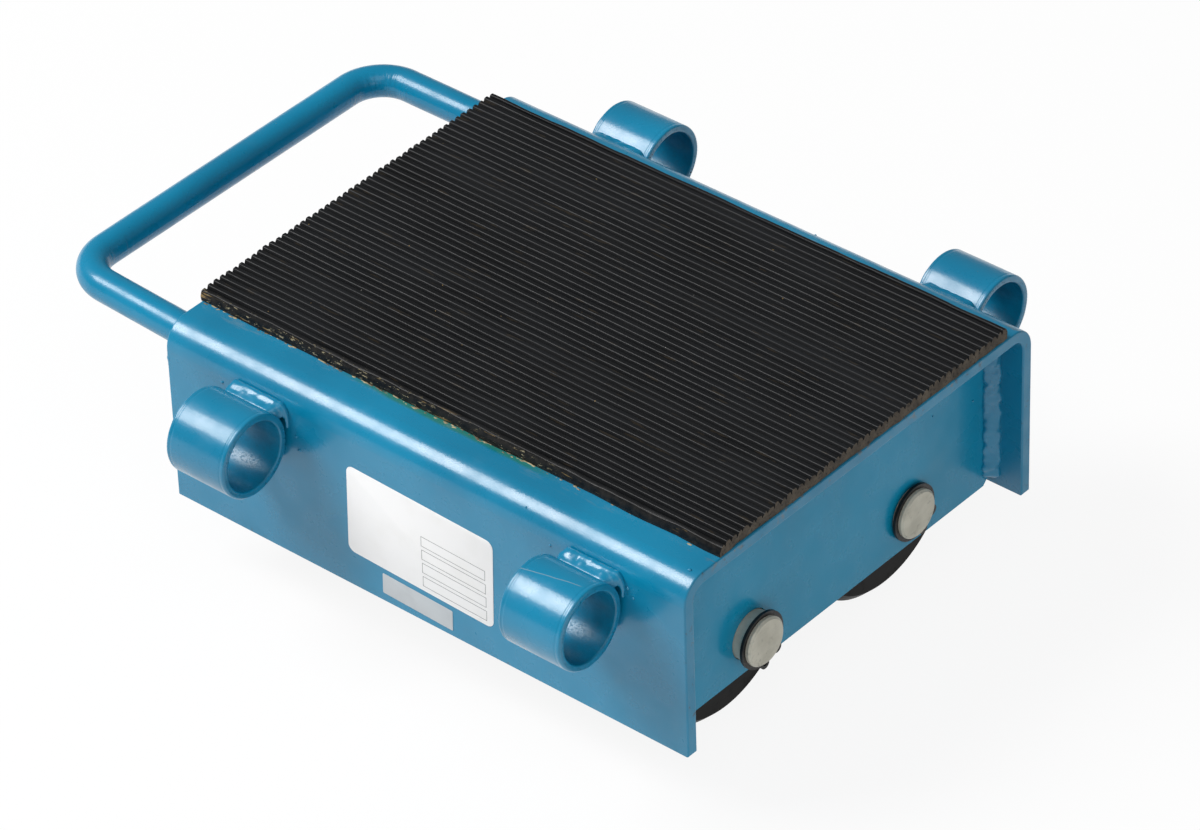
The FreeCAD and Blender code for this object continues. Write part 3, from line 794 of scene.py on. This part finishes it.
# %% Beads on the sockets
# each row: out from the flange, up from the tube's axis, radius, in millimetres
VEE_ROWS = ((3.0, 9.6, 3.7), (1.3, 12.7, 1.7), (5.5, 10.7, 1.9))
UNDER_ROWS = ((2.4, -9.9, 4.0), (0.4, -12.2, 1.7))
# how far these rows stay short of the tube's rear and front ends, in millimetres
VEE_SHORT = (4.6, 4.6)
UNDER_SHORT = (6.0, 6.5)
# the lump where the bead was begun and the thin end that wraps down round the rim, each drop as ahead of
# the tube's front end, out from the flange, up from the axis, radius
THICK_START = ((-23.4, 2.2, 11.6, 2.6), (-21.8, 2.1, 12.0, 2.4), (-20.0, 1.8, 12.3, 2.1))
RIM_WRAP = ((-2.2, 0.9, 12.0, 2.1), (-1.0, 0.8, 11.0, 1.9), (-0.1, 0.7, 9.7, 1.6), (0.2, 0.6, 8.3, 1.4),
            (0.3, 0.5, 6.9, 1.3), (0.2, 0.5, 5.6, 1.1), (0.1, 0.4, 4.4, 1.0), (0, 0.4, 3.4, 0.9))


def socket_stations(end, side):
    _, centre, _ = sockets[end, side]
    sign = SIDES[side]
    low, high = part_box(f"socket_{end}_{side}")
    wall = channel_high.y * sign
    top, bottom = [], []
    for rows, (start, stop), stations in ((VEE_ROWS, VEE_SHORT, top), (UNDER_ROWS, UNDER_SHORT, bottom)):
        for out, up, radius in rows:
            line = (wall + sign * out * MM, centre.z + up * MM)
            spacing = (0.5 + radius * 0.4) * MM
            for point in run_of((low.x + start * MM, *line), (high.x - stop * MM, *line), spacing):
                stations.append((point, radius * MM, ROUND_PUDDLE))
    for ahead, out, up, radius in THICK_START + RIM_WRAP:
        place = (high.x + ahead * MM, wall + sign * out * MM, centre.z + up * MM)
        top.append((place, radius * MM, (0.9, 1.0, 1.0)))
    return top, bottom


for side in SIDES:
    beads = []
    for number, end in enumerate(ENDS):
        for row, stations in enumerate(socket_stations(end, side)):
            seed = 11 + 7 * number + 3 * row + 40 * (SIDES[side] > 0)
            beads.append(add_bead("socket_bead", stations, seed))
    socket_beads = join_as(f"socket_beads_{side}", beads)
    fit_out(socket_beads, paint_bead, replaces=[f"socket_welds_{side}"])

# %% [markdown]
# The plates are held by upright fillet beads in the corners with the flanges. Seen from the front, the
# far one shows as a wavy ribbon of highlights.

# %% Beads on the plates and the handle
# each row: out from the plate, out from the flange, radius, in millimetres
CORNER_ROWS = ((1.4, 1.4, 2.2), (0.2, 3.5, 1.5), (3.5, 0.2, 1.5), (0.7, 2.5, 1.8), (2.5, 0.7, 1.8))
CORNER_MARGIN = 1.5 * MM
PUDDLE_SPACING = 1.6 * MM
PLATE_THICKNESS = 5 * MM
HANDLE_BEAD_RADIUS = 2.2 * MM
HANDLE_BEAD_OFF = 1.6 * MM


def corner_stations(x, towards, sign, bottom, top):
    inside = (channel_high.y - PLATE_THICKNESS) * sign
    stations = []
    for off_plate, off_flange, radius in CORNER_ROWS:
        line = (x + towards * off_plate * MM, inside - sign * off_flange * MM)
        for point in run_of((*line, bottom + CORNER_MARGIN), (*line, top - CORNER_MARGIN), PUDDLE_SPACING):
            stations.append((point, radius * MM, ROUND_PUDDLE))
    return stations


def plate_beads(name, node, faces):
    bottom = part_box(node)[0].z
    beads = []
    for number, (x, towards, top) in enumerate(faces):
        for sign in SIDES.values():
            stations = corner_stations(x, towards, sign, bottom, top)
            beads.append(add_bead("corner_bead", stations, 101 + 5 * number + sign, smooth=9, unrest=0.27))
    piece = join_as(name, beads)
    fit_out(piece, paint_bead, replaces=[node])


front_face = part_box("end_plate_front")[1].x
rear_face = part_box("end_plate_rear")[0].x
front_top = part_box("end_plate_welds")[1].z
rear_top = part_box("carry_handle")[0].z - 1 * MM
plate_beads("end_plate_beads", "end_plate_welds", [(front_face, 1, front_top), (rear_face, -1, rear_top)])
centre_low, centre_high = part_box("centre_plate")
centre_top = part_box("centre_plate_welds")[1].z
plate_beads("centre_plate_beads", "centre_plate_welds",
            [(centre_high.x, 1, centre_top), (centre_low.x, -1, centre_top)])

handle_bead_low, handle_bead_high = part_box("handle_welds")
beads = []
for number, sign in enumerate(SIDES.values()):
    line = (sign * (channel_high.y - PLATE_THICKNESS - HANDLE_BEAD_OFF), handle_bead_low.z + HANDLE_BEAD_OFF)
    points = run_of((handle_bead_low.x + 0.6 * MM, *line), (handle_bead_high.x - 0.8 * MM, *line),
                    PUDDLE_SPACING)
    stations = [(point, HANDLE_BEAD_RADIUS, ROUND_PUDDLE) for point in points]
    beads.append(add_bead("handle_bead", stations, 211 + number, smooth=5, unrest=0.12))
fit_out(join_as("handle_beads", beads), paint_bead, replaces=["handle_welds"])

# %% [markdown]
# Welding leaves more than beads: a blob on the rear edge of the right flange, where the handle's bead
# ran over, and pinhead drops of spatter that nobody chipped off before painting.

# %% Run-over and spatter
# height and radius of each drop, in millimetres, just inside the rear edge of the flange
RUN_OVER = ((96.5, 1.2), (95, 1.5), (93.4, 1.7), (91.8, 1.8), (90.2, 1.8), (88.6, 1.8), (87, 1.8),
            (85.4, 1.7), (84, 1.5), (82.8, 1.2))
edge_stations = []
for height, size in RUN_OVER:
    place = (channel_low.x + 0.9 * MM, channel_low.y + 1.7 * MM, height * MM)
    edge_stations.append((place, size * MM, (0.95, 1.05, 1.0)))
run_over = add_bead("handle_weld_run_over", edge_stations, 307, smooth=8, voxel=0.4 * MM)
fit_out(run_over, paint_bead)

SPATTER = [
    # x, y, z in millimetres and the drop's radius
    (155.2, -91.4, 104.7, 0.8), (133.6, -100, 91.5, 0.6), (136.0, -100, 88.0, 0.45), (97.5, -100, 93.0, 0.5),
    (-62.0, -100, 92.0, 0.55), (-25.6, -100, 84.0, 0.5), (84.0, -96.9, 101.9, 0.45), (-24.5, -100, 78.2, 0.6),
    (144.75, 60, 78, 0.4), (144.75, 84, 71, 0.5), (126, 100, 93.4, 0.5),
    (-31, 100, 92.4, 0.6), (-75.25, 40, 64, 0.5), (-75.25, -62, 55, 0.6), (60, 96.9, 101.9, 0.45),
]
drops = []
clear_selection()
for x, y, z, size in SPATTER:
    bpy.ops.mesh.primitive_ico_sphere_add(subdivisions=3, radius=size * MM,
                                          location=(x * MM, y * MM, z * MM), scale=(1.1, 0.95, 0.9))
    drops.append(bpy.context.active_object)
spatter = join_as("weld_spatter", drops)
settle(spatter, 80)
fit_out(spatter, paint_bead)

# %% [markdown]
# ## The ribbed mat
# The mat is cut from a roll of ribbed rubber and glued on. One rib is modelled: a bar whose upper edges
# are cut back to slopes and softened, divided into short lengths so that it can wander later. Its side
# walls are taken out and an array with merging repeats it across the sheet.

# %% One rib and its repeats
RIB_PITCH = 3.4 * MM
RIB_SLOPE = 0.9 * MM
RIB_ROUNDING = 0.3 * MM
GROOVE_STRETCH = 2.0
LENGTHS_PER_RIB = 72
mat_length = mat_high.x - mat_low.x
mat_height = mat_high.z - mat_low.z
rib_count = round((mat_high.y - mat_low.y) / RIB_PITCH)
clear_selection()
bpy.ops.mesh.primitive_cube_add(size=1, location=((mat_low.x + mat_high.x) / 2, mat_low.y + RIB_PITCH / 2,
                                                  (mat_low.z + mat_high.z) / 2),
                                scale=(mat_length, RIB_PITCH, mat_height))
mat = added("ribbed_mat")
bpy.ops.object.transform_apply(location=True, rotation=True, scale=True)


def runs_along(edge):
    """Whether an edge runs the length of the rib."""
    return abs(edge.verts[0].co.x - edge.verts[1].co.x) > 0.1


def is_crest(edge):
    return runs_along(edge) and min(end.co.z for end in edge.verts) > mat_high.z - 1e-6


edit(mat)
pick(mat, "edges", is_crest)
bpy.ops.mesh.bevel(offset=RIB_SLOPE, segments=1, affect="EDGES")
pick(mat, "verts", lambda vertex: vertex.co.z > mat_high.z - RIB_SLOPE * 1.05)
bpy.ops.transform.resize(value=(1, 1, GROOVE_STRETCH), center_override=(0, 0, mat_high.z))
pick(mat, "edges", is_crest)
bpy.ops.mesh.bevel(offset=RIB_ROUNDING, segments=3, affect="EDGES")
pick(mat, "faces", lambda face: abs(face.normal.y) > 0.999)
bpy.ops.mesh.delete(type="ONLY_FACE")
pick(mat, "edges", runs_along)
bpy.ops.mesh.subdivide(number_cuts=LENGTHS_PER_RIB)
bpy.ops.object.mode_set(mode="OBJECT")
apply_modifier(mat, "ARRAY", count=rib_count, use_relative_offset=False, use_constant_offset=True,
               constant_offset_displace=(0, RIB_PITCH, 0), use_merge_vertices=True, merge_threshold=0.00005)
print("mat of", rib_count, "ribs,", len(mat.data.polygons), "faces")

# %% [markdown]
# The two open sides are closed with walls, then the edges are cut unevenly. A displacement works along
# one axis and only where a vertex group lets it, like a hand that wavers while it pulls the knife. Two
# more let all ribs wander a little and wear down the outer rib on the right.

# %% Knife-cut edges
edit(mat)
for side_y in (mat_low.y, mat_low.y + rib_count * RIB_PITCH):
    pick(mat, "edges", lambda edge: edge.is_boundary and abs(middle(edge).y - side_y) < 1e-5)
    bpy.ops.mesh.edge_face_add()
bpy.ops.object.mode_set(mode="OBJECT")
settle(mat, 50)


def cut_group(name, weight_of):
    """A vertex group with a weight for each vertex from its place."""
    group = mat.vertex_groups.new(name=name)
    for vertex in mat.data.vertices:
        weight = weight_of(vertex.co)
        if weight > 0:
            group.add([vertex.index], min(weight, 1), "REPLACE")
    return group.name


def cut_texture(name, scale, depth):
    texture = bpy.data.textures.new(name, "CLOUDS")
    texture.noise_scale = scale
    texture.noise_depth = depth
    return texture


# a weight falls from 1 at the edge to 0 at the depth that it is divided by, in metres
front_cut = cut_group("front_cut", lambda place: 1 - (mat_high.x - place.x) / 0.001)
rear_cut = cut_group("rear_cut", lambda place: 1 - (place.x - mat_low.x) / 0.004)
right_cut = cut_group("right_cut", lambda place: 1 - (place.y - mat_low.y) / 0.0036)
left_cut = cut_group("left_cut", lambda place: 1 - (mat_high.y - place.y) / 0.0036)
lifted = cut_group("lifted", lambda place: (place.z - mat_low.z - 0.001) / 0.003)
worn_rib = cut_group("worn_rib", lambda place: (1 - (place.y - mat_low.y) / 0.0042)
                     * (place.z > mat_low.z + 0.001))
# each cut: its texture's name, size and depth, the axis, the strength in millimetres, its level, its group
CUTS = (
    ("front_knife", 0.004, 2, "X", -1.8, 0.25, front_cut), ("rear_knife", 0.006, 1, "X", 1.2, 0.4, rear_cut),
    ("right_knife", 0.016, 3, "Y", 1.8, 0.35, right_cut), ("left_knife", 0.02, 2, "Y", -1.5, 0.0, left_cut),
    ("rib_wander", 0.03, 1, "Y", 0.5, 0.5, lifted), ("rib_wear", 0.012, 3, "Z", -2.0, 0.0, worn_rib),
)
for name, scale, depth, axis, strength, level, group in CUTS:
    apply_modifier(mat, "DISPLACE", texture=cut_texture(name, scale, depth), texture_coords="GLOBAL",
                   direction=axis, strength=strength * MM, mid_level=level, vertex_group=group)
mat.vertex_groups.clear()
fit_out(mat, mat_rubber, replaces=["rubber_mat"])
mat.data.materials.append(cut_rubber.material)
for face in mat.data.polygons:
    if face.normal.x > 0.6:
        face.material_index = 1

# %% [markdown]
# ## Glue along the right edge
# The glue was pressed out along the right edge of the mat and dried there in beige crumbs. They are
# made as the beads are, from flattened drops in an uneven, broken row.

# %% Glue line
GLUE_BROWN = colour(84, 74, 56)
GLUE_BEIGE = colour(176, 162, 126)
GLUE_DIRT = colour(34, 32, 28)


def dried_glue():
    finish = Finish("dried_glue", specular_ior_level=0.5)
    cloud = finish.noise(160, 4)
    grain = finish.noise(900, 3)
    shade = finish.mix(finish.band(cloud, 0.35, 0.65), GLUE_BROWN, GLUE_BEIGE)
    shade = finish.mix(finish.band(grain, 0.6, 0.75) * 0.5, shade, GLUE_DIRT)
    finish.feed("Base Color", shade)
    finish.feed("Roughness", 0.34 + 0.2 * grain)
    finish.bump(grain * 0.8 + cloud * 0.5, 0.0003, 0.7)
    return finish


glue_lots = random.Random(77)
glue_stations = []
x = mat_low.x + 3 * MM
while x < mat_high.x - 4 * MM:
    thick = glue_lots.uniform(0.2, 0.6)
    if glue_lots.random() < (0.62 if x < GLUE_END else 0.08):
        place = (x, mat_low.y + glue_lots.uniform(-0.7, 0.4) * MM, mat_low.z - 0.05 * MM)
        glue_stations.append((place, thick * MM, (2.2, 1.0, 0.5)))
    x += glue_lots.uniform(0.5, 1.5) * MM
glue = add_bead("glue_line", glue_stations, 78, smooth=2, voxel=0.3 * MM)
fit_out(glue, dried_glue())

# %% [markdown]
# ## Blank stickers
# Two stickers sit on the right flange, and both stay blank here: a white one with rounded corners and
# four empty outlined fields, and a small grey one below it. A sticker is a thin plate: a plane whose
# corners are beveled and which is extruded by the film's thickness. The printed outlines are thin
# frames that stand a few hundredths of a millimetre over the film, so that they stay sharp.

# %% Sticker films
FLECK = colour(120, 118, 112)


def film_finish(name, pale, soiled, rough, metallic):
    finish = Finish(name, specular_ior_level=0.5, metallic=metallic)
    soil = finish.band(finish.noise(60, 4), 0.45, 0.75)
    fleck = finish.dots(300, 0.00022, 0.06)
    ripple = finish.noise(180, 2)
    shade = finish.mix(soil * 0.35, pale, soiled)
    shade = finish.mix(fleck * 0.5, shade, FLECK)
    finish.feed("Base Color", shade)
    finish.feed("Roughness", rough + 0.15 * soil)
    finish.bump(ripple * 0.6 + fleck, 0.00006, 0.5)
    return finish


white_film = film_finish("white_film", colour(240, 240, 240), colour(229, 228, 225), rough=0.38, metallic=0)
grey_film = film_finish("grey_film", colour(190, 196, 200), colour(168, 172, 174), rough=0.34, metallic=0.25)
ink = film_finish("grey_ink", colour(120, 122, 124), colour(98, 99, 100), rough=0.5, metallic=0)
print("white film, grey film and grey ink")

# %% Stickers
flange_face = channel_low.y
# the film's thickness and soft edge, the gap behind it, the ink's thickness and how far the ink stands off
# the flange, in millimetres
FILM_THICKNESS = 0.16
FILM_EDGE = 0.05
FILM_GAP = 0.02
INK_THICKNESS = 0.03
INK_PROUD = 0.20
# the white film: middle along X and Z in millimetres and tilt in degrees
LABEL_X, LABEL_Z = 33.7, 61.7
LABEL_TILT = 2.05


def upright_plane(name, centre_x, centre_z, width, height, tilt, proud):
    """A rectangle on the right flange, turned by tilt degrees in its own plane."""
    clear_selection()
    bpy.ops.mesh.primitive_plane_add(size=1, location=(centre_x, flange_face - proud, centre_z),
                                     rotation=(math.pi / 2, math.radians(tilt), 0))
    plane = added(name)
    plane.scale = (width, height, 1)
    bpy.ops.object.transform_apply(location=True, rotation=True, scale=True)
    return plane


def add_film(name, centre_x, centre_z, width, height, tilt, corner):
    film = upright_plane(name, centre_x * MM, centre_z * MM, width * MM, height * MM, tilt, FILM_GAP * MM)
    edit(film)
    bpy.ops.mesh.bevel(offset=corner * MM, segments=6, affect="VERTICES")
    bpy.ops.mesh.extrude_region_move(TRANSFORM_OT_translate={"value": (0, -FILM_THICKNESS * MM, 0)})
    bpy.ops.object.mode_set(mode="OBJECT")
    apply_modifier(film, "BEVEL", width=FILM_EDGE * MM, segments=2, limit_method="ANGLE")
    settle(film, 30)
    return film


label = add_film("blank_label", LABEL_X, LABEL_Z, width=70.8, height=40.0, tilt=LABEL_TILT, corner=3.2)
fit_out(label, white_film)
small_label = add_film("blank_small_label", 31.1, 34.7, width=34.2, height=9.2, tilt=2.1, corner=0.5)
fit_out(small_label, grey_film)

# %% [markdown]
# The four fields sit one above the other in the right half of the white film. Each is a plane, inset
# by the line's width, with its middle taken out.

# %% Empty fields
# in millimetres; right and up are from the label's middle to the first field's
FIELD_COUNT = 4
FIELD_WIDTH = 31.0
FIELD_HEIGHT = 4.6
FIELD_PITCH = 6.15
FIELD_LINE = 0.22
FIELD_RIGHT = 16.2
FIELD_UP = 2.9
fields = []
for row in range(FIELD_COUNT):
    centre_x = LABEL_X + FIELD_RIGHT
    centre_z = LABEL_Z + FIELD_UP - FIELD_PITCH * row - FIELD_RIGHT * math.tan(math.radians(LABEL_TILT))
    field = upright_plane("field", centre_x * MM, centre_z * MM, FIELD_WIDTH * MM, FIELD_HEIGHT * MM,
                          LABEL_TILT, INK_PROUD * MM)
    edit(field)
    bpy.ops.mesh.inset(thickness=FIELD_LINE * MM)
    bpy.ops.mesh.delete(type="FACE")
    bpy.ops.mesh.select_all(action="SELECT")
    bpy.ops.mesh.extrude_region_move(TRANSFORM_OT_translate={"value": (0, INK_THICKNESS * MM, 0)})
    bpy.ops.object.mode_set(mode="OBJECT")
    fields.append(field)
field_lines = join_as("blank_label_fields", fields)
settle(field_lines, 30)
fit_out(field_lines, ink)

# %% [markdown]
# ## Studio
# A product shot: the skate stands on a pale table under large soft lamps. The long highlight along the
# folded edge shows where the main lamp is: to the left of the camera and about as high. A second, wider
# lamp hangs overhead, and a weak one fills the front. The floor is seen whiter than it is lit, by Light
# Path, and still carries the shadow.

# %% Floor
FLOOR_RADIUS = 9
FLOOR_PALE = colour(243, 243, 243)
FLOOR_SHADE = colour(238, 238, 238)
SEEN_WHITE = 0.9
clear_selection()
bpy.ops.mesh.primitive_circle_add(vertices=96, radius=FLOOR_RADIUS, fill_type="NGON")
floor = added("studio_floor")
floor_finish = Finish("pale_floor", roughness=0.9, specular_ior_level=0.1)
floor_tone = floor_finish.noise(3, 2)
floor_finish.feed("Base Color", floor_finish.mix(floor_tone * 0.2, FLOOR_PALE, FLOOR_SHADE))
seen = floor_finish.node("ShaderNodeLightPath", out="Is Camera Ray")
seen = seen.most(seen.output("Is Glossy Ray")).most(seen.output("Is Transmission Ray"))
glow = floor_finish.node("ShaderNodeEmission", inputs={"Color": (1, 1, 1, 1), "Strength": 1})
surface = Signal(floor_finish, floor_finish.shader.outputs[0])
blend = floor_finish.node("ShaderNodeMixShader", inputs={0: seen * SEEN_WHITE, 1: surface, 2: glow})
floor_finish.fill(floor_finish.tree.nodes["Material Output"].inputs[0], blend)
floor.data.materials.append(floor_finish.material)
floor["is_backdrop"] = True
print("floor", 2 * FLOOR_RADIUS, "m across")

# %% Lamps and surround
SURROUND_STRENGTH = 0.22


def add_lamp(name, towards, distance, width, height, power):
    """A soft box in a direction from the skate, facing it."""
    bpy.ops.object.light_add(type="AREA")
    lamp = bpy.context.active_object
    lamp.name = name
    lamp.data.shape = "RECTANGLE"
    lamp.data.size = width
    lamp.data.size_y = height
    lamp.data.energy = power
    direction = Vector(towards).normalized()
    lamp.location = aim + direction * distance
    lamp.rotation_mode = "QUATERNION"
    lamp.rotation_quaternion = direction.to_track_quat("Z", "Y")


add_lamp("main_soft_box", (-0.531, -0.385, 0.752), distance=3.2, width=1.5, height=1.55, power=98)
add_lamp("overhead_soft_box", (0.45, -0.45, 1.0), distance=2.3, width=1.4, height=1.4, power=9)
add_lamp("front_fill", (0.95, -0.45, 0.30), distance=2.4, width=1.2, height=1.2, power=7)
world = bpy.data.worlds.new("studio_air")
world.use_nodes = True
surround = world.node_tree.nodes["Background"]
surround.inputs["Color"].default_value = (1, 1, 1, 1)
surround.inputs["Strength"].default_value = SURROUND_STRENGTH
bpy.context.scene.world = world
bpy.context.scene.view_settings.view_transform = "Standard"
print("three lamps and a pale surround")

# %% [markdown]
# ## Sizes
# The dressed model's box is set beside the CAD model's box, and how far each side has grown is printed, in
# millimetres. The dressed model has to stay inside the CAD model's box.

# %% Sizes and finish
visual_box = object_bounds()
growth = [round((after - before) / MM, 4) for low_high in zip(cad_box, visual_box)
          for before, after in zip(*low_high)]
print("visual box less CAD box, in millimetres:", growth)
